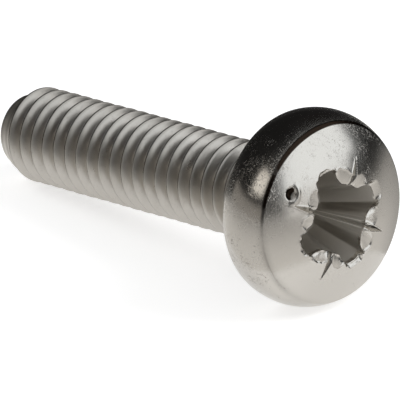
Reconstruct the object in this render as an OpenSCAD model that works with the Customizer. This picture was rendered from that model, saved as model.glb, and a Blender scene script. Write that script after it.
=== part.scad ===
// Machine screw with a raised cheese head, a cross recess of type Z and a coarse metric thread of 4 mm.
// The screw is built upright about its own axis, head up, with the bearing face at height 0.
// It is then laid down on its side, as it comes to rest, on the head's side and the thread's end.

/* [Thread] */
// Diameter over the thread's crests
thread_d = 3.91; // [3.8:0.01:4]
// Distance from one crest to the next
thread_pitch = 0.7; // [0.6:0.05:0.8]
// Length from the bearing face to the tip
shank_length = 16.35; // [12:0.05:25]
// Height by which rolling has rounded the crest's edges
crest_round = 0.03; // [0.01:0.01:0.05]
// Turn of the thread's start about the axis, in degrees
thread_start = 62; // [0:1:360]

/* [Tip] */
// Diameter of the flat end
tip_d = 2.84; // [2.4:0.02:2.9]
// Length of the chamfer that leads into the thread
tip_chamfer = 0.78; // [0.5:0.02:1.2]

/* [Neck] */
// Diameter of the plain neck under the head
neck_d = 3.48; // [3.4:0.02:3.6]
// Length of the plain neck under the head
neck_length = 0.9; // [0.7:0.05:1.4]
// Length over which the thread fades into the neck
thread_runout = 0.5; // [0.4:0.05:0.8]
// Radius of the fillet between the neck and the bearing face
neck_fillet = 0.25; // [0.22:0.01:0.3]

/* [Head] */
// Largest diameter of the head
head_d = 8; // [7.6:0.05:8.4]
// Height of the head from the bearing face to the top of its dome
head_height = 3.2; // [3:0.05:3.6]
// Height of the head's widest place above the bearing face
bulge_height = 1.1; // [0.9:0.05:1.3]
// Diameter of the crease between the rounded side and the dome
crease_d = 7.36; // [7.1:0.02:7.5]
// Height of the crease above the bearing face
crease_height = 2.3; // [2:0.05:2.5]
// Radius of the rounded edge round the bearing face
rim_radius = 0.4; // [0.2:0.05:0.5]

/* [Recess] */
// Span across two opposite wings at the mouth
wing_span = 4.16; // [4:0.04:4.4]
// Width of a wing at the mouth
wing_width = 1.08; // [0.9:0.02:1.2]
// Depth of the wings below the mouth
wing_depth = 2.35; // [1.9:0.05:2.4]
// Slope of a wing's end wall, in degrees from the axis
wing_slope = 24; // [13:1:26]
// Draft of a wing's side walls, in degrees from the axis
wing_draft = 4.5; // [1:0.5:6]
// Diameter across the webs between the wings at the mouth
web_d = 2.9; // [2.6:0.05:3.1]
// Diameter of the core at the foot of the wings
core_floor_d = 1.2; // [1:0.05:1.5]
// Depth of the pointed floor below the wings
core_point = 0.35; // [0.2:0.05:0.4]
// Depth to which the mouth's edge is turned down
mouth_depth = 0.2; // [0.1:0.02:0.26]
// Span over the turned-down lips at the wings' ends
lip_span = 4.48; // [4.4:0.04:4.8]
// Span over the turned-down petals on both sides of the webs
petal_span = 4.04; // [3.9:0.02:4.2]
// Depth of the notches between the lips and the petals
notch_cut = 0.07; // [0.04:0.01:0.1]
// Width of the turned-down edge in the middle of a web
web_edge = 0.27; // [0.2:0.01:0.35]
// Depth of the rib's groove down the middle of each web at the mouth
rib_depth = 0.09; // [0.04:0.01:0.1]
// Diameter over the outer ends of the four index marks
mark_span = 5.2; // [5:0.05:5.6]
// Width of an index mark at its inner end
mark_width = 0.34; // [0.2:0.02:0.4]
// Depth of an index mark at its inner end
mark_depth = 0.26; // [0.15:0.01:0.3]
// Turn of the recess about the axis, in degrees from the top of the lying screw
drive_turn = 63; // [0:1:90]
// Distance by which the punch has struck beside the axis
drive_offset = 0.156; // [0:0.004:0.2]
// Direction of that distance, in degrees from the top of the lying screw
drive_offset_turn = 156; // [0:1:360]

/* [Nick] */
// Radius of the small nick in the dome
nick_radius = 0.19; // [0.1:0.01:0.25]
// Distance of the nick from the axis
nick_offset = 2.77; // [2.7:0.01:3]
// Turn of the nick from the nearest index mark, in degrees
nick_turn = -9; // [-15:1:-7]

/* [Hidden] */
$fn = 96;

// Thread form: a sharp triangle with flanks of 30 degrees, cut off by an eighth at the crest
// and by a sixth at the root
thread_segments = 32;
flank_angle = 30;
crest_cut = 1 / 8;
root_cut = 1 / 6;
triangle_height = thread_pitch / 2 / tan(flank_angle);
crest_r = thread_d / 2;
root_r = crest_r - triangle_height * (1 - crest_cut - root_cut);
crest_flat = thread_pitch * crest_cut;
flank_width = (crest_r - crest_round - root_r) * tan(flank_angle);
// Below the neck's own radius, so that the faded thread ends inside the neck
faded_r = (root_r + neck_d / 2) / 2;
// The first turn starts just above the tip, and the last one ends wholly inside the neck
tip_gap = 0.09;
first_z = -shank_length + tip_gap;
thread_turns = ceil((-neck_length - first_z) / thread_pitch);
// Height of the closing ring above the last turn
crown_rise = 0.18;
// The crests rise over the first half turn, and the first step is already this many steps up
start_columns = thread_segments / 2;
start_lead = 3;
chamfer_slope = (thread_d - tip_d) / 2 / tip_chamfer;
// How far cutters and sunk ends reach past the surface that they cross
overlap = 0.6;
neck_sink = 0.1;

// Side of the head: one arc through the widest place and the crease
head_r = head_d / 2;
crease_r = crease_d / 2;
crease_rise = crease_height - bulge_height;
side_radius = (crease_rise ^ 2 + (head_r - crease_r) ^ 2) / (2 * (head_r - crease_r));
side_centre = head_r - side_radius;
// Rounded edge that runs smoothly from the bearing face into the side
rim_centre = side_centre + sqrt((side_radius - rim_radius) ^ 2 - (bulge_height - rim_radius) ^ 2);
rim_angle = atan2(rim_radius - bulge_height, rim_centre - side_centre);
// Dome: a spherical cap from the crease to the top
dome_rise = head_height - crease_height;
dome_radius = (crease_r ^ 2 + dome_rise ^ 2) / (2 * dome_rise);
dome_angle = asin(crease_r / dome_radius);

// Recess: levels of its walls, and columns between a wing's middle and a web's middle, in degrees
wing_r = wing_span / 2;
web_r = web_d / 2;
core_floor_r = core_floor_d / 2;
mouth_z = head_height - dome_radius + sqrt(dome_radius ^ 2 - wing_r ^ 2);
floor_z = mouth_z - wing_depth;
drive_shift = drive_offset * [cos(drive_offset_turn - drive_turn), sin(drive_offset_turn - drive_turn)];
half_columns = [0, 8, 12.5, 15, 17, 19, 21.5, 25, 30, 36, 40.5];
wall_levels = [0.75, 0.5, 0.25, 0];
// Sharpness of the rounding at the webs and at the wings' ends: a higher number is sharper
web_sharpness = 7;
end_sharpness = 24;
// Depth at which the ribs' grooves have run out
rib_length = 1.5;
// Radius of the turned-down edge by angle: a lip, a notch, a petal and the web's own edge
lip_r = lip_span / 2;
petal_r = petal_span / 2;
turned_edge = [
    [0, lip_r], [12.5, lip_r], [17, petal_r - notch_cut],
    [25, petal_r], [31, petal_r], [40.5, web_r + web_edge]
];
// How far past the dome the slope of the turned-down edge goes on in the cutter
edge_overshoot = 1.3;

// Lying pose: the side's arc and the first full crest stand on the ground
chamfer_end = shank_length - tip_chamfer;
lean_length = bulge_height + chamfer_end;
lean_drop = side_centre - crest_r;
lean = asin(side_radius / norm([lean_length, lean_drop])) + atan(lean_drop / lean_length);
axis_height = side_radius + side_centre * cos(lean) - bulge_height * sin(lean);
front_reach = head_height * cos(lean);
back_reach = shank_length * cos(lean) + tip_d / 2 * sin(lean);

// Points of an arc in the profile plane, from angle a to angle b, with or without its first point
function arc(x, y, r, a, b, steps, first = 0) =
    [for (i = [first : steps]) let (w = a + (b - a) * i / steps) [x + r * cos(w), y + r * sin(w)]];

// Height of the dome at a distance from the axis
function dome_z(distance) = head_height - dome_radius + sqrt(dome_radius ^ 2 - distance ^ 2);

// The thread's form over one pitch: distance along the axis and share of the full depth
thread_form = [
    [0, 0],
    [flank_width, 1],
    [flank_width + crest_flat / 2, 1],
    [flank_width + crest_flat, 1],
    [2 * flank_width + crest_flat, 0]
];
form_count = len(thread_form);
last_column = thread_turns * thread_segments;

// Radius of a point of the thread form: the crest's middle stands highest, the crests rise along
// the chamfer over the first half turn, and they fade into the neck at the other end
function form_r(column, i, z) =
    let (
        crest = i == 2 ? crest_r : crest_r - crest_round,
        chamfer = tip_d / 2 + (z + shank_length) * chamfer_slope,
        start = min((column + start_lead) / start_columns, 1),
        fade = min(max((-z - neck_length) / thread_runout, 0), 1)
    )
    thread_form[i][1] == 0 ? min(root_r, chamfer)
    : column < last_column / 2 ? root_r + (min(crest, max(chamfer, root_r)) - root_r) * start
    : faded_r + (crest - faded_r) * fade;

// A point of the helix: the column counts steps round the axis, and the form repeats at every turn
function thread_point(column, i) =
    let (
        z = first_z + thread_pitch * column / thread_segments + thread_form[i][0],
        r = form_r(column, i, z),
        w = column * 360 / thread_segments
    )
    [r * cos(w), r * sin(w), z];

// Ring that closes the helix at one end
function end_ring(r, z) =
    [for (j = [0 : thread_segments - 1]) let (w = j * 360 / thread_segments) [r * cos(w), r * sin(w), z]];

// Number of a helix point in the list of points
function at(column, i) = i < form_count ? column * form_count + i
    : column + thread_segments <= last_column ? (column + thread_segments) * form_count
    : (last_column + 1) * form_count + column + thread_segments - last_column - 1;

// The thread as one closed helical band with a flat ring at both ends
module thread() {
    n = thread_segments;
    m = last_column;
    high = first_z + (thread_turns + 1) * thread_pitch + crown_rise;
    points = concat(
        [for (c = [0 : m], i = [0 : form_count - 1]) thread_point(c, i)],
        [for (c = [m + 1 : m + n]) thread_point(c, 0)],
        end_ring(tip_d / 2, -shank_length),
        end_ring(root_r, high)
    );
    ring_a = (m + 1) * form_count + n;
    ring_b = ring_a + n;
    band = [
        for (c = [0 : m - 1], i = [0 : form_count - 1])
            each [[at(c, i), at(c, i + 1), at(c + 1, i + 1)], [at(c, i), at(c + 1, i + 1), at(c + 1, i)]]
    ];
    foot = [
        for (c = [0 : n - 2])
            each [[ring_a + c, at(c, 0), at(c + 1, 0)], [ring_a + c, at(c + 1, 0), ring_a + c + 1]]
    ];
    foot_seam = [
        [ring_a + n - 1, at(n - 1, 0), ring_a],
        [ring_a, at(n - 1, 0), at(0, 0)],
        [at(0, 0), at(n - 1, 0), at(0, form_count)]
    ];
    start_cap = [for (i = [0 : form_count - 2]) [at(0, form_count), at(0, i + 1), at(0, i)]];
    crown = [
        for (j = [1 : n - 1])
            let (a = at(m - n + j, form_count), b = at(m - n + j + 1, form_count))
            each [[a, ring_b + j, b], [b, ring_b + j, ring_b + (j + 1) % n]]
    ];
    crown_seam = [
        [at(m - n + 1, form_count), ring_b, ring_b + 1],
        [at(m - n + 1, form_count), at(m, form_count), ring_b],
        [at(m - n + 1, form_count), at(m, 0), at(m, form_count)]
    ];
    end_cap = [for (i = [0 : form_count - 2]) [at(m, form_count), at(m, i), at(m, i + 1)]];
    discs = [
        [for (j = [0 : n - 1]) ring_a + j],
        [for (j = [n - 1 : -1 : 0]) ring_b + j]
    ];
    polyhedron(points, concat(band, foot, foot_seam, start_cap, crown, crown_seam, end_cap, discs));
}

// Threaded shank, turned to its start
module shank() {
    color("silver")
        rotate([0, 0, thread_start])
            thread();
}

// Head and neck as one turned body, with the neck's foot sunk in the shank
module head() {
    neck_r = neck_d / 2;
    foot_r = root_r - neck_sink;
    crease_angle = asin(crease_rise / side_radius);
    color("gainsboro")
        rotate_extrude()
            polygon(concat(
                [[0, foot_r - neck_r - neck_length], [foot_r, foot_r - neck_r - neck_length]],
                [[neck_r, -neck_length]],
                arc(neck_r + neck_fillet, -neck_fillet, neck_fillet, 180, 90, 6),
                arc(rim_centre, rim_radius, rim_radius, -90, rim_angle, 6),
                arc(side_centre, bulge_height, side_radius, rim_angle, crease_angle, 12, 1),
                arc(0, head_height - dome_radius, dome_radius, 90 - dome_angle, 90, 12, 1)
            ));
}

// Radius of the recess's wall at an angle from the nearest wing's middle and at a height: the wing's
// end and side, joined to the core with rounded corners, and the rib's groove
function wall_r(angle, z) =
    let (
        below = mouth_z - z,
        end = wing_r - below * tan(wing_slope),
        side = (wing_width / 2 - below * tan(wing_draft)) / max(sin(angle), 0.001),
        core = core_floor_r + (z - floor_z) * (web_r - core_floor_r) / (dome_z(web_r) - floor_z),
        wing = (end ^ -end_sharpness + side ^ -end_sharpness) ^ (-1 / end_sharpness),
        rib = angle == 45 ? rib_depth * max(1 - below / rib_length, 0) : 0
    )
    (core ^ web_sharpness + wing ^ web_sharpness) ^ (1 / web_sharpness) + rib;

// All columns round the recess: the turn, and the angle from the nearest wing's middle
wall_columns = [
    for (q = [45 : 90 : 315])
        each concat(
            [for (a = half_columns) [q + a, a]],
            [[q + 45, 45]],
            [for (i = [len(half_columns) - 1 : -1 : 1]) [q + 90 - half_columns[i], half_columns[i]]]
        )
];

// Distance from the head's axis of a point in the recess's frame
function head_distance(r, turn) = norm([r * cos(turn), r * sin(turn)] + drive_shift);

// Height of the mouth's edge in a column, found in a few rounds
function edge_z(column, z, rounds) = rounds == 0 ? z
    : edge_z(column, dome_z(head_distance(wall_r(column[1], z), column[0])) - mouth_depth, rounds - 1);

// A column's points, from the top of the cutter down to the floor
function column_points(column) =
    let (
        low_z = edge_z(column, mouth_z, 6),
        low_r = wall_r(column[1], low_z),
        edge_r = lookup(column[1], turned_edge),
        high_z = dome_z(head_distance(edge_r, column[0])),
        past_r = low_r + (edge_r - low_r) * edge_overshoot,
        past_z = low_z + (high_z - low_z) * edge_overshoot,
        rows = concat(
            [[past_r, head_height + overlap], [past_r, past_z], [low_r, low_z]],
            [for (t = wall_levels) let (z = floor_z + (low_z - floor_z) * t) [wall_r(column[1], z), z]]
        )
    )
    [for (row = rows) [row[0] * cos(column[0]), row[0] * sin(column[0]), row[1]]];

// The punch that strikes the recess: four wings, a core with ribs and the mouth's turned-down edge
module punch() {
    n = len(wall_columns);
    rows = len(wall_levels) + 3;
    points = concat(
        [for (column = wall_columns) each column_points(column)],
        [[0, 0, floor_z - core_point]]
    );
    skin = [
        for (c = [0 : n - 1], i = [0 : rows - 2])
            let (a = c * rows + i, b = (c + 1) % n * rows + i)
            each [[a, b, b + 1], [a, b + 1, a + 1]]
    ];
    point = [for (c = [0 : n - 1]) [(c + 1) * rows - 1, ((c + 1) % n + 1) * rows - 1, n * rows]];
    top = [[for (c = [n - 1 : -1 : 0]) c * rows]];
    polyhedron(points, concat(skin, point, top));
}

// One tapered index mark: a groove with sloping sides that runs out at its outer end
module index_mark(turn) {
    inner = web_r - overlap / 2;
    outer = mark_span / 2;
    spread = mark_width / 2 / mark_depth;
    high = head_height + overlap / 2;
    low = dome_z(head_distance(inner, turn)) - mark_depth;
    end_low = dome_z(head_distance(outer, turn));
    inner_w = spread * (high - low);
    outer_w = spread * (high - end_low);
    rotate([0, 0, turn])
        polyhedron([
            [inner, 0, low], [inner, -inner_w, high], [inner, inner_w, high],
            [outer, 0, end_low], [outer, -outer_w, high], [outer, outer_w, high]
        ], [[0, 2, 1], [3, 4, 5], [0, 1, 4, 3], [0, 3, 5, 2], [1, 2, 5, 4]]);
}

// Cross recess of type Z, with its four index marks at the webs
module recess() {
    punch();
    for (turn = [0 : 90 : 270])
        index_mark(turn);
}

// Small nick in the dome
module nick() {
    rotate([0, 0, nick_turn])
        translate([nick_offset, 0, dome_z(head_distance(nick_offset, nick_turn))])
            sphere(nick_radius);
}

// The whole screw, upright
module upright_screw() {
    difference() {
        union() {
            shank();
            head();
        }
        rotate([0, 0, drive_turn])
            translate([drive_shift[0], drive_shift[1], 0]) {
                recess();
                nick();
            }
    }
}

// The screw as it lies on the ground, its head towards +X
module screw() {
    translate([(back_reach - front_reach) / 2, 0, axis_height])
        rotate([0, 90 - lean, 0])
            rotate([0, 0, 180])
                upright_screw();
}

screw();
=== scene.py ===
import math

import bpy
import numpy as np
from mathutils import Matrix, Vector


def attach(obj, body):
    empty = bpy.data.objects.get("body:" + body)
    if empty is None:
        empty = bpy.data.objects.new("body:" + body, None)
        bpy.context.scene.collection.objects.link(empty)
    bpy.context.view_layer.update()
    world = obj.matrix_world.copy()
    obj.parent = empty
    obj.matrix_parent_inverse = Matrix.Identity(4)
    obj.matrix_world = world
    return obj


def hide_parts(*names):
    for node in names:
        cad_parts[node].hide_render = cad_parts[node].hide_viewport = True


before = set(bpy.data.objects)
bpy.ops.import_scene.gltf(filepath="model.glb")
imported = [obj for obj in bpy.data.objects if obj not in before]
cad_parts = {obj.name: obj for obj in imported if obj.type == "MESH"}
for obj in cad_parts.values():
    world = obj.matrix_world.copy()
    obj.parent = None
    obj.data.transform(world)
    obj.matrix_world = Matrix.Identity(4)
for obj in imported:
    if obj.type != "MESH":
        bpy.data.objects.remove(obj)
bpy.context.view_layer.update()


# Camera: it looks at the screw from the head's side and from above, through a long lens.
# The values come from the outlines of the head and of the shank in the photograph.
camera_turn = math.radians(48.433)
camera_rise = math.radians(23.317)
camera_distance = 0.3616
picture_width_px = 400
focal_px = 8982.8
sensor_mm = 36
look_at = Vector((0, 0, 0.0032))
aim_right = 0.7286e-3
aim_up = -1.2821e-3


def add_object(name, data):
    """A new object, put into the scene."""
    item = bpy.data.objects.new(name, data)
    bpy.context.collection.objects.link(item)
    return item


backward = Vector((
    math.sin(camera_turn) * math.cos(camera_rise),
    -math.cos(camera_turn) * math.cos(camera_rise),
    math.sin(camera_rise)))
rightward = Vector((math.cos(camera_turn), math.sin(camera_turn), 0))
upward = backward.cross(rightward)

camera_data = bpy.data.cameras.new("photo_camera")
camera_data.sensor_width = sensor_mm
camera_data.lens = focal_px / picture_width_px * sensor_mm
camera_data.clip_start = 0.01
camera_data.clip_end = 10
camera = add_object("photo_camera", camera_data)
camera_place = look_at + rightward * aim_right + upward * aim_up + backward * camera_distance
camera.matrix_world = Matrix((
    (rightward.x, upward.x, backward.x, camera_place.x),
    (rightward.y, upward.y, backward.y, camera_place.y),
    (rightward.z, upward.z, backward.z, camera_place.z),
    (0, 0, 0, 1)))
bpy.context.scene.camera = camera
bpy.context.scene.view_settings.view_transform = "Standard"


# Studio: a pale table in a white room, two soft lamps, and black, grey and pale cards held round
# the screw. The cards show only in the metal's reflections, as a photographer's flags do.
room_light_level = 0.45
table_half = 0.6
table_grey = 0.7
table_glow = 0.6
card_centre = (0.0083, 0, 0.0042)
card_distance = 0.085
card_step = 6
far_nearer = 0.04


def seen_rays(tree):
    """1 for what the camera, a reflection or clear glass sees, 0 for light that falls on things."""
    rays = tree.nodes.new("ShaderNodeLightPath")
    seen = rays.outputs["Is Camera Ray"]
    for kind in ("Is Glossy Ray", "Is Transmission Ray"):
        either = tree.nodes.new("ShaderNodeMath")
        either.operation = "MAXIMUM"
        tree.links.new(seen, either.inputs[0])
        tree.links.new(rays.outputs[kind], either.inputs[1])
        seen = either.outputs[0]
    return seen


world = bpy.data.worlds.new("white_room")
bpy.context.scene.world = world
world.use_nodes = True
room = world.node_tree
room.nodes.clear()
room_out = room.nodes.new("ShaderNodeOutputWorld")
room_light = room.nodes.new("ShaderNodeBackground")
room_light.inputs["Color"].default_value = (1, 1, 1, 1)
room_level = room.nodes.new("ShaderNodeMapRange")
room_level.inputs["To Min"].default_value = room_light_level
room_level.inputs["To Max"].default_value = 1.0
room.links.new(seen_rays(room), room_level.inputs["Value"])
room.links.new(room_level.outputs["Result"], room_light.inputs["Strength"])
room.links.new(room_light.outputs[0], room_out.inputs["Surface"])

# The table: a white sheet that keeps the screw's shadow
table_mesh = bpy.data.meshes.new("table_sheet")
table_mesh.from_pydata(
    [(-table_half, -table_half, 0), (table_half, -table_half, 0),
     (table_half, table_half, 0), (-table_half, table_half, 0)], [], [(0, 1, 2, 3)])
table = add_object("table_sheet", table_mesh)
sheet = bpy.data.materials.new("white_sheet")
sheet.use_nodes = True
paper = sheet.node_tree
paper.nodes.clear()
sheet_out = paper.nodes.new("ShaderNodeOutputMaterial")
sheet_matt = paper.nodes.new("ShaderNodeBsdfDiffuse")
sheet_matt.inputs["Color"].default_value = (table_grey, table_grey, table_grey, 1)
sheet_glow = paper.nodes.new("ShaderNodeEmission")
sheet_glow.inputs["Color"].default_value = (1, 1, 1, 1)
sheet_sum = paper.nodes.new("ShaderNodeAddShader")
sheet_level = paper.nodes.new("ShaderNodeMath")
sheet_level.operation = "MULTIPLY"
sheet_level.inputs[1].default_value = table_glow
paper.links.new(seen_rays(paper), sheet_level.inputs[0])
paper.links.new(sheet_level.outputs[0], sheet_glow.inputs["Strength"])
paper.links.new(sheet_matt.outputs[0], sheet_sum.inputs[0])
paper.links.new(sheet_glow.outputs[0], sheet_sum.inputs[1])
paper.links.new(sheet_sum.outputs[0], sheet_out.inputs["Surface"])
table_mesh.materials.append(sheet)


def reflected_card(name, corners, quads, tint):
    """A card that shows only in reflections. Gives its mesh, its paint's nodes and its glow."""
    mesh = bpy.data.meshes.new(name)
    mesh.from_pydata(corners, [], quads)
    panel = add_object(name, mesh)
    paint = bpy.data.materials.new(name)
    paint.use_nodes = True
    tree = paint.node_tree
    tree.nodes.clear()
    glow = tree.nodes.new("ShaderNodeEmission")
    glow.inputs["Color"].default_value = (*tint, 1)
    out = tree.nodes.new("ShaderNodeOutputMaterial")
    tree.links.new(glow.outputs[0], out.inputs["Surface"])
    mesh.materials.append(paint)
    panel.visible_camera = False
    panel.visible_diffuse = False
    panel.visible_shadow = False
    return mesh, tree, glow


def round_card(name, turn_span, rise_span, level, tint=(1, 1, 1), nearer=0):
    """A card bent round the screw, of one brightness. Turns run from +Y towards +X, in degrees."""
    turns, rises = (
        np.radians(np.linspace(low, high, max(2, int((high - low) / card_step) + 1)))
        for low, high in (turn_span, rise_span))
    reach = card_distance - nearer
    corners = [(card_centre[0] + reach * math.sin(t) * math.cos(e),
                card_centre[1] + reach * math.cos(t) * math.cos(e),
                card_centre[2] + reach * math.sin(e)) for t in turns for e in rises]
    rows = len(rises)
    quads = [(i * rows + j, i * rows + j + 1, (i + 1) * rows + j + 1, (i + 1) * rows + j)
             for i in range(len(turns) - 1) for j in range(rows - 1)]
    glow = reflected_card(name, corners, quads, tint)[2]
    glow.inputs["Strength"].default_value = level


round_card("black_card_left", (-195, -12), (13, 90), 0.014)
round_card("grey_card_left", (-195, -118), (-2, 13), 0.36, (1.0, 0.95, 0.89))
round_card("black_card_left_low", (-118, -12), (-2, 13), 0.03)
round_card("grey_card_camera", (103, 165), (-2, 46), 0.13)
round_card("black_card_far", (-14, 34), (13, 28), 0.02, nearer=far_nearer)
round_card("black_card_far_middle", (-14, 42), (7, 13), 0.02, nearer=far_nearer)
round_card("black_card_far_low", (19, 52), (-4, 7), 0.02, nearer=far_nearer)
round_card("black_card_far_right", (-14, 19), (1, 7), 0.02, nearer=far_nearer)
round_card("grey_card_far_right", (-14, 19), (-3, 1), 0.17, nearer=far_nearer)
round_card("grey_card_right", (91, 103), (-2, 30), 0.07)
round_card("cool_softbox", (32, 91), (9, 42), 1.45, (0.96, 1.0, 1.04))
round_card("cool_softbox_over", (-12, 150), (46, 90), 0.8, (0.97, 1.0, 1.03))
round_card("warm_card_left", (-186, -157), (24, 48), 1.25, (1.0, 0.96, 0.9), 0.005)

# The table as the metal shows it, a glowing sheet seen only in reflections with painted shade:
# paler close by, greyer further off and black behind the screw
apron_rows = ((0.005, 0.92), (0.009, 0.84), (0.014, 0.74), (0.02, 0.66), (0.03, 0.58),
              (0.045, 0.5), (0.08, 0.45))
apron_half = 0.009
apron_z = 0.0002
apron_steps = 24
behind_turn = math.radians(-62)
behind_spread = 62
behind_dark = 0.93
apron_spots = []
apron_levels = []
for reach, level in apron_rows:
    for side in (1, -1):
        for t in np.linspace(-math.pi / 2, math.pi / 2, apron_steps):
            away_x, away_y = side * math.cos(t), side * math.sin(t)
            apron_spots.append((side * apron_half + reach * away_x, reach * away_y, apron_z))
            backwards = away_x * math.sin(behind_turn) + away_y * math.cos(behind_turn)
            from_behind = math.degrees(math.acos(min(1, backwards)))
            shade = behind_dark * math.exp(-(from_behind / behind_spread) ** 6)
            apron_levels.append(level * (1 - shade))
apron_row = 2 * apron_steps
apron_quads = [(i * apron_row + j, i * apron_row + (j + 1) % apron_row,
                (i + 1) * apron_row + (j + 1) % apron_row, (i + 1) * apron_row + j)
               for i in range(len(apron_rows) - 1) for j in range(apron_row)]
apron_mesh, apron_tree, apron_glow = reflected_card(
    "grey_apron", apron_spots, apron_quads, (1, 0.985, 0.96))
apron_layer = apron_mesh.attributes.new("level", "FLOAT", "POINT")
apron_layer.data.foreach_set("value", np.array(apron_levels, np.float32))
apron_read = apron_tree.nodes.new("ShaderNodeAttribute")
apron_read.attribute_name = "level"
apron_tree.links.new(apron_read.outputs["Fac"], apron_glow.inputs["Strength"])

for name, place, size, power in (
        ("soft_lamp_right", (0.22, 0.18, 0.24), 0.22, 0.55),
        ("soft_lamp_left", (-0.2, -0.18, 0.3), 0.25, 0.35)):
    lamp_data = bpy.data.lights.new(name, "AREA")
    lamp_data.shape = "DISK"
    lamp_data.size = size
    lamp_data.energy = power
    lamp = add_object(name, lamp_data)
    lamp.location = place
    lamp.rotation_euler = (-Vector(place)).to_track_quat("-Z", "Y").to_euler()
    lamp.visible_glossy = False


# Screw: stainless wire, cold-headed between dies, its cross recess struck by a punch that leaves
# turned-down lips, petals and four index marks, and its thread rolled, with rounded crests.
# The sizes are millimetres and the same as in the part's source; the mesh is made head up.
thread_d = 3.91
pitch = 0.7
shank_length = 16.35
tip_d = 2.84
tip_chamfer = 0.78
thread_start = math.radians(62)
neck_d = 3.48
neck_length = 0.9
thread_runout = 0.5
neck_fillet = 0.25
head_d = 8.0
head_height = 3.2
bulge_height = 1.1
crease_d = 7.36
crease_height = 2.3
rim_radius = 0.4
wing_span = 4.16
wing_width = 1.08
wing_depth = 2.35
wing_slope = math.radians(24)
wing_draft = math.radians(4.5)
web_d = 2.9
web_round = 7
corner_round = 24
core_floor_d = 1.2
core_point = 0.35
mouth_depth = 0.2
rib_depth = 0.09
rib_length = 1.5
rib_half_turn = math.radians(5)
mark_span = 5.2
mark_width = 0.34
mark_depth = 0.26
drive_turn = math.radians(63)
drive_shift = np.array([-0.143, 0.062])
nick_turn = math.radians(-8.6)
nick_offset = 2.77
nick_radius = 0.21
nick_depth = 0.19
nick_squeeze = 0.8

spots = []
faces = []


def hump(away, spread, power=2):
    """1 in the middle, and less with the distance from it."""
    return np.exp(-(np.abs(away) / spread) ** power)


def near_turn(angle, degrees, spread):
    """A hump round the axis, at a turn that is counted from the first index mark."""
    away = np.angle(np.exp(1j * (angle - drive_turn - math.radians(degrees))))
    return hump(away, math.radians(spread))


def waves(angle, table):
    """A sum of waves round the axis, each with its height, its count in a turn and its start."""
    return sum(high * np.sin(angle * count + start) for high, count, start in table)


def put(x, y, z):
    """Adds points and gives their numbers."""
    first = sum(len(s) for s in spots)
    block = np.stack(np.broadcast_arrays(np.asarray(x, float), y, z), -1).reshape(-1, 3)
    spots.append(block)
    return list(range(first, first + len(block)))


def join_rings(low, high):
    """Quads between two closed rings with the same number of points."""
    n = len(low)
    for j in range(n):
        k = (j + 1) % n
        faces.append((low[j], low[k], high[k], high[j]))


def close_ring(middle, ring):
    """Triangles from a middle point to a closed ring, which runs anticlockwise as it is seen."""
    for j in range(len(ring)):
        faces.append((middle, ring[j], ring[(j + 1) % len(ring)]))


def knit(left, left_at, right, right_at):
    """Triangles between two rows of points that run side by side, matched by where they lie."""
    i = j = 0
    while i < len(left) - 1 or j < len(right) - 1:
        right_done = j == len(right) - 1
        if right_done or (i < len(left) - 1 and left_at[i + 1] <= right_at[j + 1]):
            faces.append((left[i], right[j], left[i + 1]))
            i += 1
        else:
            faces.append((left[i], right[j], right[j + 1]))
            j += 1


# The rolled thread: height of its form over one pitch, round at the root and at the crest. The
# sharp triangle is cut off by an eighth at the crest and by a sixth at the root.
form_at = np.array([0, 0.045, 0.085, 0.13, 0.19, 0.25, 0.285, 0.315])
form_high = np.array([0, 0.02, 0.10, 0.27, 0.52, 0.78, 0.92, 0.985])
form_at = np.concatenate([form_at, [pitch / 2], pitch - form_at[:0:-1]])
form_high = np.concatenate([form_high, [1.0], form_high[:0:-1]])
form_count = len(form_at)
steps = 72
step_turn = 2 * np.pi / steps
triangle_height = pitch * math.cos(math.radians(30))
crest_r = thread_d / 2
root_r = crest_r - triangle_height * 17 / 24
neck_r = neck_d / 2
tip_r = tip_d / 2
tip_gap = 0.09
run_end = 0.08
crest_wear = 0.006
wear_lobes = 3
wear_drift = 1.7
first_z = -shank_length + tip_gap
last_step = int((-neck_length - run_end - first_z) * steps / pitch)


def shank_r(step, z):
    """Radius of the shank at a height and a step round the axis from the thread's start."""
    step, z = np.broadcast_arrays(np.asarray(step, float), z)
    turn = (z - first_z) / pitch - step / steps
    form = np.interp((turn % 1) * pitch, np.append(form_at, pitch), np.append(form_high, 0))
    start = np.clip(step / (steps / 2), 0, 1)
    form = np.where(turn < -1e-9, 0, form) * start
    cone = tip_r + (z + shank_length) * (crest_r - tip_r) / tip_chamfer
    worn = crest_wear * np.sin(wear_lobes * step * step_turn) * np.sin(z * wear_drift)
    skin = np.minimum(root_r + (crest_r - root_r + worn * form) * form, cone)
    fade = np.clip((-z - neck_length) / thread_runout, 0, 1)
    fade = fade * fade * (3 - 2 * fade)
    return neck_r + (skin - neck_r) * fade


def shank_put(step, z):
    """Adds points on the shank."""
    angle = thread_start + np.asarray(step, float) * step_turn
    r = shank_r(step, z)
    return put(r * np.cos(angle), r * np.sin(angle), z)


helix = [shank_put(c, first_z + pitch * c / steps + form_at) for c in range(last_step + 1)]
top_edge = [helix[last_step][0]] + [
    shank_put(c, first_z + pitch * c / steps)[0]
    for c in range(last_step + 1, last_step + steps + 1)]


def helix_spot(c, i):
    """A point of the thread's form; the form's end is the start of the next turn."""
    if i < form_count:
        return helix[c][i]
    if c + steps <= last_step:
        return helix[c + steps][0]
    return top_edge[c + steps - last_step]


for c in range(last_step):
    for i in range(form_count):
        faces.append((helix_spot(c, i), helix_spot(c + 1, i),
                      helix_spot(c + 1, i + 1), helix_spot(c, i + 1)))

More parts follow.
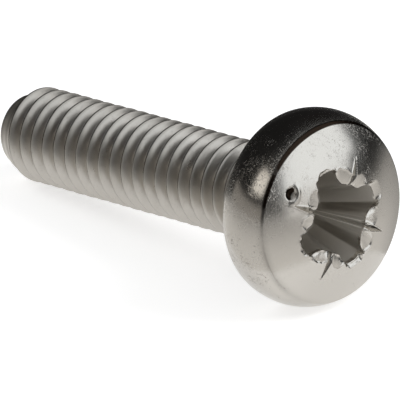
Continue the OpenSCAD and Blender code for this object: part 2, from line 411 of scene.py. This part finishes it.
# Foot: from the flat end up to the first turn
end_edge = 0.05
end_edge_high = 0.035
row_gap = 0.004
end_angles = thread_start + np.arange(steps) * step_turn
end_ring = put(tip_r * np.cos(end_angles), tip_r * np.sin(end_angles),
               -shank_length + end_edge_high)
low_rows = first_z + form_at
columns = []
for c in range(steps + 1):
    top = first_z + pitch * c / steps
    if c == 0:
        columns.append(([end_ring[0], helix[0][0]], [-shank_length, first_z]))
    elif c == steps:
        columns.append(([end_ring[0]] + helix[0] + [helix[steps][0]],
                        [-shank_length] + list(low_rows) + [top]))
    else:
        rows = [z for z in low_rows if z < top - row_gap]
        columns.append(([end_ring[c]] + shank_put(c, np.array(rows)) + [helix[c][0]],
                        [-shank_length] + rows + [top]))
for left, right in zip(columns[:-1], columns[1:]):
    knit(*left, *right)

# Flat end of the shank, slightly hollow as the wire was cut off: radius and depth of each ring
hollow_rings = ((tip_r - end_edge, 0), (1.2, 0.01), (0.8, 0.035), (0.4, 0.05))
hollow_depth = 0.055
inner_ring = end_ring
for r, z in hollow_rings:
    ring = put(r * np.cos(end_angles), r * np.sin(end_angles), -shank_length + z)
    join_rings(ring, inner_ring)
    inner_ring = ring
close_ring(put(0, 0, -shank_length + hollow_depth)[0], inner_ring[::-1])

# Crown: from the last turn up the plain neck
neck_top_z = -neck_fillet - 0.02
crown_z = first_z + pitch * last_step / steps
crown_rows = crown_z + form_at
crown_steps = last_step + np.arange(steps)
crown_ring = shank_put(crown_steps, neck_top_z)
columns = []
for k in range(steps + 1):
    c = last_step + k
    low = first_z + pitch * c / steps
    if k == 0:
        columns.append((helix[last_step] + [top_edge[steps], crown_ring[0]],
                        list(crown_rows) + [crown_z + pitch, neck_top_z]))
    elif k == steps:
        columns.append(([top_edge[steps], crown_ring[0]], [low, neck_top_z]))
    else:
        rows = [z for z in crown_rows if z > low + row_gap]
        between = shank_put(c, np.array(rows)) if rows else []
        columns.append(([top_edge[k]] + between + [crown_ring[k]], [low] + rows + [neck_top_z]))
for left, right in zip(columns[:-1], columns[1:]):
    knit(*left, *right)
crown_angles = (thread_start + crown_steps * step_turn) % (2 * np.pi)
order = np.argsort(crown_angles)
crown_ring = [crown_ring[j] for j in order]
crown_angles = crown_angles[order]

# Head: an arc from the rim over the widest place to the crease, and a round dome
head_r = head_d / 2
crease_r = crease_d / 2
crease_rise = crease_height - bulge_height
side_radius = (crease_rise ** 2 + (head_r - crease_r) ** 2) / (2 * (head_r - crease_r))
side_centre = head_r - side_radius
rim_centre = side_centre + math.sqrt(
    (side_radius - rim_radius) ** 2 - (bulge_height - rim_radius) ** 2)
rim_angle = math.atan2(rim_radius - bulge_height, rim_centre - side_centre)
crease_angle = math.asin(crease_rise / side_radius)
dome_rise = head_height - crease_height
dome_radius = (crease_r ** 2 + dome_rise ** 2) / (2 * dome_rise)


def dome_z(distance):
    """Height of the plain dome at a distance from the axis."""
    return head_height - dome_radius + np.sqrt(dome_radius ** 2 - distance ** 2)


def strip_r(angle):
    """Where the dome ends and the narrow strip down to the crease begins, wider at the top left."""
    return crease_r - 0.02 - 0.12 * near_turn(angle, -45, 40) - 0.04 * near_turn(angle, 0, 20)


# Recess: its outline at a height is a cross with four wings, whose webs are rounded into the core.
# The columns of points keep an even distance along the outline, and are closer at the index marks.
column_count = 432
quarter_columns = column_count // 4
wing_r = wing_span / 2
mouth_z = float(dome_z(wing_r))
floor_z = mouth_z - wing_depth
web_r = web_d / 2
core_floor_r = core_floor_d / 2
core_draft = (web_r - core_floor_r) / (float(dome_z(web_r)) - floor_z)
turn_x, turn_y = math.cos(drive_turn), math.sin(drive_turn)


def to_head(x, y):
    """From the recess's frame, an index mark at angle 0, to the head's."""
    return x * turn_x - y * turn_y + drive_shift[0], x * turn_y + y * turn_x + drive_shift[1]


def to_recess(x, y):
    """From the head's frame to the recess's."""
    x, y = x - drive_shift[0], y - drive_shift[1]
    return x * turn_x + y * turn_y, -x * turn_y + y * turn_x


def turn_from_wing(angle):
    """Angle between a direction in the recess and the middle of the nearest wing."""
    return np.abs((angle % (math.pi / 2)) - math.pi / 4)


def recess_r(angle, z):
    """Radius of the recess's wall at an angle and a height."""
    from_wing = turn_from_wing(angle)
    below = mouth_z - z
    end = wing_r - below * math.tan(wing_slope)
    half = wing_width / 2 - below * math.tan(wing_draft)
    core = core_floor_r + (z - floor_z) * core_draft
    from_mark = math.pi / 4 - from_wing
    rib = np.clip(1 - below / rib_length, 0, 1) * rib_depth * np.clip(
        1 - from_mark / rib_half_turn, 0, 1)
    side = half / np.maximum(np.sin(from_wing), 1e-3)
    wing = (end ** -corner_round + side ** -corner_round) ** (-1 / corner_round)
    return (core ** web_round + wing ** web_round) ** (1 / web_round) + rib


fine_angle = np.linspace(0, math.pi / 2, 1441)
fine_r = recess_r(fine_angle, mouth_z - mouth_depth)
fine_x, fine_y = fine_r * np.cos(fine_angle), fine_r * np.sin(fine_angle)
fine_mark = np.minimum(fine_angle, math.pi / 2 - fine_angle)
closeness = 1 + 2 * hump(fine_mark[1:], math.radians(7))
walked = np.cumsum(np.hypot(np.diff(fine_x), np.diff(fine_y)) * closeness)
walked = np.concatenate([[0], walked])
quarter_share = np.arange(quarter_columns) / quarter_columns
quarter_angles = np.interp(quarter_share * walked[-1], walked, fine_angle)
column_angles = np.concatenate([quarter_angles + q * math.pi / 2 for q in range(4)])

# Mouth: the punch has turned the metal down into rounded petals beside the index marks and into
# lips at the wings' ends. Each petal has its turn and half width in degrees, and its reach.
petals_at = ((18, 11, 0.34), (70, 15, 0.36), (107, 13, 0.3), (160, 14, 0.4),
             (197, 14, 0.34), (256, 11, 0.31), (290, 15, 0.42), (343, 12, 0.4))
petal_foot_r = 1.66
lip_r = 2.24
lip_spread = math.radians(16.5)
broad_lip = 0.12
edge_ripples = ((0.03, 7, 1), (0.02, 17, 2), (0.014, 41, 0))
mouth_ripples = ((0.012, 11, 1), (0.01, 23, 2), (0.005, 61, 0))


def smooth_lip(angle):
    """1 at the one wing whose lip came out smooth and broad, 0 at the others."""
    return hump(angle - math.radians(226), math.radians(21), 4)


def petal_r(angle):
    """Radius of the petals' and lips' outer edge."""
    edge = (lip_r + broad_lip * smooth_lip(angle)) * hump(turn_from_wing(angle), lip_spread, 6)
    for turn, spread, reach in petals_at:
        petal = hump(angle - math.radians(turn), math.radians(spread), 2.6)
        edge = np.maximum(edge, petal_foot_r + reach * petal)
    return edge + waves(angle, edge_ripples) * (1 - smooth_lip(angle))


# The mouth lies at the foot of the turned-down edge. It is found step by step, as its radius
# depends on its height and its height on its radius
from_mark = math.pi / 4 - turn_from_wing(column_angles)
stretched = 0.07 * hump(column_angles - math.radians(315), math.radians(15))
ragged = waves(column_angles, mouth_ripples) * (1 - smooth_lip(column_angles))
mouth_zs = np.full(column_count, mouth_z)
for _ in range(12):
    mouth_r = recess_r(column_angles, mouth_zs) + stretched + ragged
    mouth_x, mouth_y = to_head(mouth_r * np.cos(column_angles), mouth_r * np.sin(column_angles))
    mouth_zs = dome_z(np.hypot(mouth_x, mouth_y)) - mouth_depth

# Burrs on the mouth's edge: turn and half width in degrees, and height
burrs_at = ((66, 9, 1), (93, 4, 0.8), (108, 5, 0.6), (135, 12, 1), (158, 5, 0.6), (183, 4, 0.8),
            (308, 9, 0.7), (325, 4, 0.8))
burr_height = 0.07
burr_width = 0.05
ledge_height = 0.035
ledge_width = 0.05
petal_swell = 0.3
least_petal = 0.06

# Low ridges beside the edges: height, how far out the middle lies, and half width
rim_ridge = (0.022, 0.03, 0.035)
mark_ridge = (0.012, 0.02, 0.025)
nick_ridge = (0.05, 0.28, 0.09)


def ridge(out, size):
    """A low ridge of pushed-up metal, at a distance out from an edge."""
    high, middle, width = size
    return high * hump(out - middle, width)


def petals_depth(angle, rho):
    """Depth of the turned-down petals and lips, less their burrs, and the ridge round them."""
    closed_angles = np.append(column_angles, column_angles[0] + 2 * math.pi)
    inner = np.interp(angle, closed_angles, np.append(mouth_r, mouth_r[0]))
    outer = np.maximum(petal_r(angle), inner + least_petal)
    inward = np.clip((outer - rho) / (outer - inner), 0, 1)
    uneven = np.clip(0.5 + waves(angle, ((0.4, 5, 0.7), (0.3, 9, 2.1))), 0, 1)
    uneven = uneven * (1 - smooth_lip(angle))
    ledge = ledge_height * uneven
    sunk = petal_swell * np.sin(angle * 3 + 0.4) * np.sin(angle * 13 + 1.7)
    sunk = 1 + sunk * (1 - smooth_lip(angle))
    depth = (mouth_depth - ledge) * (0.55 * inward + 0.45 * inward ** 2)
    depth = depth * (sunk + (1 - sunk) * inward)
    depth = depth + ledge * np.clip((outer - rho) / ledge_width, 0, 1)
    burr = np.zeros(angle.shape)
    for turn, spread, high in burrs_at:
        burr = np.maximum(burr, high * hump(angle - math.radians(turn), math.radians(spread)))
    depth = depth - burr_height * burr * hump(rho - inner, burr_width)
    return depth, uneven * ridge(rho - outer, rim_ridge)


def marks_depth(u, v):
    """Depth of the four tapered index marks, and the ridges along their edges."""
    depth = np.zeros(u.shape)
    ridges = np.zeros(u.shape)
    flank = mark_width / 2 / mark_depth
    for a in np.arange(4) * math.pi / 2:
        along = u * math.cos(a) + v * math.sin(a)
        across = np.abs(-u * math.sin(a) + v * math.cos(a))
        fall = 1 - (along - web_r) / (mark_span / 2 - web_r)
        groove = mark_depth * np.clip(fall, 0, 1.1)
        depth = np.maximum(depth, np.where(along > 0, groove - across / flank, 0))
        beside = (along > web_r) & (along < mark_span / 2)
        edge = ridge(across - groove * flank, mark_ridge)
        ridges = ridges + np.where(beside, edge, 0) * np.clip(fall * 3, 0, 1)
    return depth, ridges


def dome_depth(x, y):
    """How far the dome's skin lies below the plain dome: petals, index marks, nick and edges."""
    u, v = to_recess(x, y)
    petals, rim_raised = petals_depth(np.arctan2(v, u) % (2 * math.pi), np.hypot(u, v))
    marks, marks_raised = marks_depth(u, v)
    hit_u = u - nick_offset * math.cos(nick_turn)
    hit_v = v - nick_offset * math.sin(nick_turn)
    hit = np.hypot(hit_u, hit_v * nick_squeeze)
    nick = nick_depth * np.clip(1 - (hit / nick_radius) ** 2, 0, 1)
    push = ridge(hit, nick_ridge) * np.clip(-hit_u / 0.2, 0, 1)
    return np.maximum(petals, marks) - rim_raised - marks_raised + nick - push


# Dome: rows from the mouth out to the crease, closer together near the mouth
even_angles = np.arange(column_count) * 2 * math.pi / column_count
head_angles = drive_turn + (0.6 * column_angles + 0.4 * even_angles)
near_share = 0.4
near_count = 26
far_count = 29
near_rows = np.linspace(0, near_share, near_count)
far_rows = near_share + (1 - near_share) * np.linspace(0, 1, far_count)[1:]
share = np.concatenate([near_rows, far_rows])
out_x, out_y = strip_r(head_angles) * (np.cos(head_angles), np.sin(head_angles))
grid_x = mouth_x[None] + (out_x - mouth_x)[None] * share[:, None]
grid_y = mouth_y[None] + (out_y - mouth_y)[None] * share[:, None]
grid_z = dome_z(np.hypot(grid_x, grid_y)) - dome_depth(grid_x, grid_y)

# Fillet, bearing face, rim and side: rows from the neck up to the crease
fillet_rows = 7
bearing_rows = (2.4, 2.9)
rim_rows = 8
side_rows = 29
profile = [(neck_r + neck_fillet + neck_fillet * math.cos(w),
            -neck_fillet + neck_fillet * math.sin(w))
           for w in np.linspace(math.pi, math.pi / 2, fillet_rows)]
profile += [(r, 0) for r in bearing_rows]
profile += [(rim_centre + rim_radius * math.cos(w), rim_radius + rim_radius * math.sin(w))
            for w in np.linspace(-math.pi / 2, rim_angle, rim_rows)]
profile += [(side_centre + side_radius * math.cos(w), bulge_height + side_radius * math.sin(w))
            for w in np.linspace(rim_angle, crease_angle, side_rows)[1:]]
rings = [put(r * np.cos(head_angles), r * np.sin(head_angles), z) for r, z in profile]
rings += [put(grid_x[i], grid_y[i], grid_z[i]) for i in range(len(share) - 1, -1, -1)]

# Walls and floor of the recess: the mouth's unevenness fades out and the punch's streaks fade in
wall_rows = 20
streak_depth = 0.012
streak_count = 62
mouth_fade = 0.07
streaks = streak_depth * np.sin(column_angles * streak_count) * np.clip(
    1 - from_mark / math.radians(15), 0, 1)
streaks *= 1 + 1.5 * hump(column_angles - math.pi, math.radians(18))
for i in range(1, wall_rows + 1):
    t = i / wall_rows
    z = grid_z[0] + (floor_z - grid_z[0]) * t
    r = recess_r(column_angles, z) + (stretched + ragged) * hump(t, mouth_fade)
    r += streaks * min(t * 8, 1) * (1 - t)
    floor_x, floor_y = r * np.cos(column_angles), r * np.sin(column_angles)
    rings.append(put(*to_head(floor_x, floor_y), z))
for t in (0.75, 0.5, 0.25):
    r = np.hypot(floor_x, floor_y) * t
    z = floor_z - core_point * np.clip(1 - r / core_floor_r, 0, 1)
    rings.append(put(*to_head(floor_x * t, floor_y * t), z))
for low, high in zip(rings[:-1], rings[1:]):
    join_rings(low, high)
close_ring(put(drive_shift[0], drive_shift[1], floor_z - core_point)[0], rings[-1])

# The neck's ring meets the head's first ring
ring_angles = head_angles % (2 * math.pi)
order = np.argsort(ring_angles)
upper = [rings[0][j] for j in order]
upper_at = list(ring_angles[order])
knit(crown_ring + [crown_ring[0]], list(crown_angles) + [crown_angles[0] + 2 * math.pi],
     upper + [upper[0]], upper_at + [upper_at[0] + 2 * math.pi])
neck_faces = len(crown_ring) + len(upper)
faces[-neck_faces:] = [tuple(reversed(f)) for f in faces[-neck_faces:]]

points = np.concatenate(spots)

# The screw lies down on its side: the head's side and the thread's end touch the table
mm = 0.001
lean_length = bulge_height + shank_length - tip_chamfer
lean_drop = side_centre - crest_r
lean = (math.asin(side_radius / math.hypot(lean_length, lean_drop))
        + math.atan(lean_drop / lean_length))
axis_height = side_radius + side_centre * math.cos(lean) - bulge_height * math.sin(lean)
front_reach = head_height * math.cos(lean)
back_reach = shank_length * math.cos(lean) + tip_r * math.sin(lean)
axis_x = (back_reach - front_reach) / 2
laid = np.stack([
    axis_x - points[:, 0] * math.sin(lean) + points[:, 2] * math.cos(lean),
    -points[:, 1],
    axis_height + points[:, 0] * math.cos(lean) + points[:, 2] * math.sin(lean)], -1) * mm

sharp_fold = math.radians(31)
screw_mesh = bpy.data.meshes.new("machine_screw")
screw_mesh.from_pydata(laid.tolist(), [], faces)
screw_mesh.validate()
for polygon in screw_mesh.polygons:
    polygon.use_smooth = True
screw_mesh.set_sharp_from_angle(angle=sharp_fold)
screw = add_object("machine_screw", screw_mesh)

# The places on the screw, point by point
radius = np.hypot(points[:, 0], points[:, 1])
angle = np.arctan2(points[:, 1], points[:, 0])
height = points[:, 2]
recess_u, recess_v = to_recess(points[:, 0], points[:, 1])
recess_angle = np.arctan2(recess_v, recess_u)
in_recess = (height < dome_z(np.minimum(radius, crease_r)) - 0.3) & (height > 0.2)
in_recess &= np.hypot(recess_u, recess_v) < wing_r + 0.1
nick_out = recess_u * math.cos(nick_turn) + recess_v * math.sin(nick_turn) - nick_offset
nick_patch_offset = nick_offset + 0.03
nick_patch_u = recess_u - nick_patch_offset * math.cos(nick_turn)
nick_patch_v = recess_v - nick_patch_offset * math.sin(nick_turn)
in_nick = (np.hypot(nick_patch_u, nick_patch_v * nick_squeeze) < 0.2) & (height > crease_height)
on_thread = height < -neck_fillet
on_tip = (height < tip_chamfer - shank_length + 0.1) & (radius > 1.3)
in_turns = on_thread & (height < -neck_length - thread_runout * 0.6) & ~on_tip
on_side = (height > 0) & (height < crease_height - 0.001)
on_strip = (height > crease_height - 0.001) & (radius > strip_r(angle) - 0.005)
form_phase = ((height - first_z) / pitch - (angle - thread_start) / (2 * math.pi)) % 1

# Painted shade darkens the strip by the crease at the top left and the left, the nick's outer half,
# one edge of each thread crest and, a trace, the recess; brown dirt lies round the crease at the
# lower left and in bands on the tip
# Painted shade in the crease strip, strongest at the top left and the left; brown dirt at the lower
# left
crease_shade_and_dirt = np.maximum(
    np.maximum(1.6 * near_turn(angle, -65, 70), 1.4 * near_turn(angle, 0, 22)),
    0.5 * near_turn(angle, 48, 25))
from_crease = np.hypot(radius - crease_r, height - crease_height)
soft_dirt = (0.26 * hump(from_crease, 0.17) + 0.035 * (radius > crease_r)) * near_turn(
    angle, 48, 40)
# Painted shade in the nick's outer half
nick_shade = 1.7 * np.clip((nick_out + 0.13) / 0.06, 0, 1)
# Painted shade along one edge of each thread crest, strongest on one side round the axis
crest_shade = np.clip((0.53 - form_phase) / 0.04, 0, 1) * np.clip((form_phase - 0.36) / 0.04, 0, 1)
shade_and_grime = np.where(on_strip, np.maximum(crease_shade_and_dirt, soft_dirt), soft_dirt)
shade_and_grime = np.where(in_recess, 0.02, np.where(in_nick, nick_shade, shade_and_grime))
shade_and_grime = np.where(in_turns, (0.2 + 0.9 * near_turn(angle, 8, 28)) * crest_shade, shade_and_grime)
tip_dirt = np.clip(np.sin(height * 21 + 1.5 * np.sin(angle * 2)), 0, 1)
shade_and_grime = np.where(on_tip, 0.3 * tip_dirt, shade_and_grime)

# The recess, the nick and the thread are matt. Above 1 the value also paints the colour lighter:
# painted highlights in bright lines on one web, on the tip and a little along the thread crests
line_waves = waves(recess_angle, ((0.7, streak_count, 0), (0.7, 37, 1)))
web_highlight_lines = near_turn(recess_angle + drive_turn, 182, 15) * np.clip(line_waves, 0, 1) ** 2
matt_and_sheen = np.where(in_recess, 1 + 1.3 * web_highlight_lines,
                np.where(in_nick, 1.0, np.where(on_thread, 0.4, 0.0)))
matt_and_sheen = np.where(on_tip, 1.4, matt_and_sheen)
matt_and_sheen = np.where(in_turns, matt_and_sheen + 0.8 * hump(form_phase - 0.46, 0.12), matt_and_sheen)

# The head is scratched and pitted on its left, most of all beside the crease
side_wear = 0.05 + 0.7 * near_turn(angle, -9, 23) + 0.8 * near_turn(angle, 46, 30)
dome_wear = 0.23 + 0.1 * near_turn(angle, -85, 25) * np.clip((radius - 2.1) / 0.4, 0, 1)
crease_wear = 0.8 * near_turn(angle, -5, 27) * hump(radius - crease_r, 0.45)
worn = np.where(on_side, side_wear, dome_wear)
worn = np.maximum(worn, np.where(height > crease_height, crease_wear, 0))
worn = np.where(in_recess, 0.1, np.where(on_thread, 0.24, worn))
for name, values in (("shade_and_grime", shade_and_grime), ("matt_and_sheen", matt_and_sheen), ("worn", worn)):
    layer = screw_mesh.attributes.new(name, "FLOAT", "POINT")
    layer.data.foreach_set("value", values.astype(np.float32))

# Stainless steel: polished by tumbling, with matt, pitted, scratched and dirty places, with painted
# shade in the crease, the nick and along the thread crests, and with painted highlights on one
# web's lines, on the tip and on the thread crests
steel_colour = (0.53, 0.505, 0.465)
painted_highlight_colour = (0.92, 0.89, 0.83)
pit_colour = (0.2, 0.165, 0.135)
shade_and_dirt_colour = (0.02, 0.014, 0.01)
relief_strength = 0.8
relief_depth = 0.000012
steel = bpy.data.materials.new("stainless_steel")
steel.use_nodes = True
nodes, links = steel.node_tree.nodes, steel.node_tree.links
shader = nodes["Principled BSDF"]
shader.inputs["Metallic"].default_value = 1.0
on_screw = nodes.new("ShaderNodeTexCoord")


def read(name):
    """The value of one of the screw's layers."""
    reader = nodes.new("ShaderNodeAttribute")
    reader.attribute_name = name
    return reader.outputs["Fac"]


def noise(scale, detail, stretch=(1, 1, 1), turn=(0, 0, 0)):
    """A noise pattern on the screw, its scale counted per metre, stretched and turned if wished."""
    shape = nodes.new("ShaderNodeMapping")
    shape.inputs["Scale"].default_value = stretch
    shape.inputs["Rotation"].default_value = [math.radians(t) for t in turn]
    pattern = nodes.new("ShaderNodeTexNoise")
    pattern.inputs["Scale"].default_value = scale
    pattern.inputs["Detail"].default_value = detail
    links.new(on_screw.outputs["Object"], shape.inputs["Vector"])
    links.new(shape.outputs["Vector"], pattern.inputs["Vector"])
    return pattern.outputs["Fac"]


def ramp(value, low, high, to_low, to_high):
    """Maps a value from one range to another and keeps it inside."""
    scaled = nodes.new("ShaderNodeMapRange")
    for socket, number in (
            ("From Min", low), ("From Max", high), ("To Min", to_low), ("To Max", to_high)):
        scaled.inputs[socket].default_value = number
    links.new(value, scaled.inputs["Value"])
    return scaled.outputs["Result"]


def combine(operation, first, second):
    """Joins two values, or a value and a number."""
    joined = nodes.new("ShaderNodeMath")
    joined.operation = operation
    for socket, value in zip(joined.inputs, (first, second)):
        if isinstance(value, (int, float)):
            socket.default_value = value
        else:
            links.new(value, socket)
    return joined.outputs[0]


def blend(share, first, second):
    """Mixes two colours, each a plain colour or another mix."""
    mixed = nodes.new("ShaderNodeMix")
    mixed.data_type = "RGBA"
    links.new(share, mixed.inputs["Factor"])
    for socket, colour in ((mixed.inputs["A"], first), (mixed.inputs["B"], second)):
        if isinstance(colour, tuple):
            socket.default_value = (*colour, 1)
        else:
            links.new(colour, socket)
    return mixed.outputs["Result"]


clouds = noise(900, 5)
worn_here = combine("MULTIPLY", read("worn"), ramp(noise(1600, 3), 0.42, 0.6, 0.15, 1))
pits = combine("MULTIPLY", ramp(noise(12000, 2), 0.63, 0.69, 0, 1), worn_here)
scratches = combine("MAXIMUM",
                    ramp(noise(7000, 2, (1, 5, 1), (20, 30, 50)), 0.64, 0.7, 0, 1),
                    ramp(noise(7000, 2, (5, 1, 1), (50, 10, 20)), 0.64, 0.7, 0, 1))
scratches = combine("MULTIPLY", scratches, worn_here)
hairs = ramp(combine("ABSOLUTE", combine("SUBTRACT", noise(2000, 2), 0.5), 0), 0.003, 0.012, 1, 0)
hairs = combine("MULTIPLY", hairs, combine("MULTIPLY", worn_here, worn_here))
marks = combine("ADD", combine("ADD", combine("MULTIPLY", pits, 0.8), scratches), hairs)

dull = combine("ADD", ramp(clouds, 0.3, 0.75, 0.17, 0.25), combine("MULTIPLY", read("matt_and_sheen"), 0.24))
dull = combine("ADD", dull, combine("MULTIPLY", combine("MAXIMUM", pits, scratches), 0.35))
links.new(dull, shader.inputs["Roughness"])
# Painted highlight: where the matt layer passes 1, the steel colour is blended towards a pale
# colour
steel_and_highlights = blend(ramp(read("matt_and_sheen"), 1, 2.3, 0, 1), steel_colour, painted_highlight_colour)
pitted = combine("MAXIMUM", combine("MULTIPLY", pits, 0.75), combine("MULTIPLY", hairs, 0.6))
# Painted shade and dirt darken the colour where the layer says, and dim the reflection to black
# there as well
shade_and_dirt = combine("MULTIPLY", read("shade_and_grime"), ramp(clouds, 0.35, 0.55, 0.6, 1))
links.new(blend(shade_and_dirt, blend(pitted, steel_and_highlights, pit_colour), shade_and_dirt_colour), shader.inputs["Base Color"])
links.new(blend(shade_and_dirt, (1, 1, 1), (0, 0, 0)), shader.inputs["Specular Tint"])

relief = nodes.new("ShaderNodeBump")
relief.inputs["Strength"].default_value = relief_strength
relief.inputs["Distance"].default_value = relief_depth
relief.invert = True
links.new(marks, relief.inputs["Height"])
links.new(relief.outputs["Normal"], shader.inputs["Normal"])
screw_mesh.materials.append(steel)

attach(screw, "root")
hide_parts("screw")
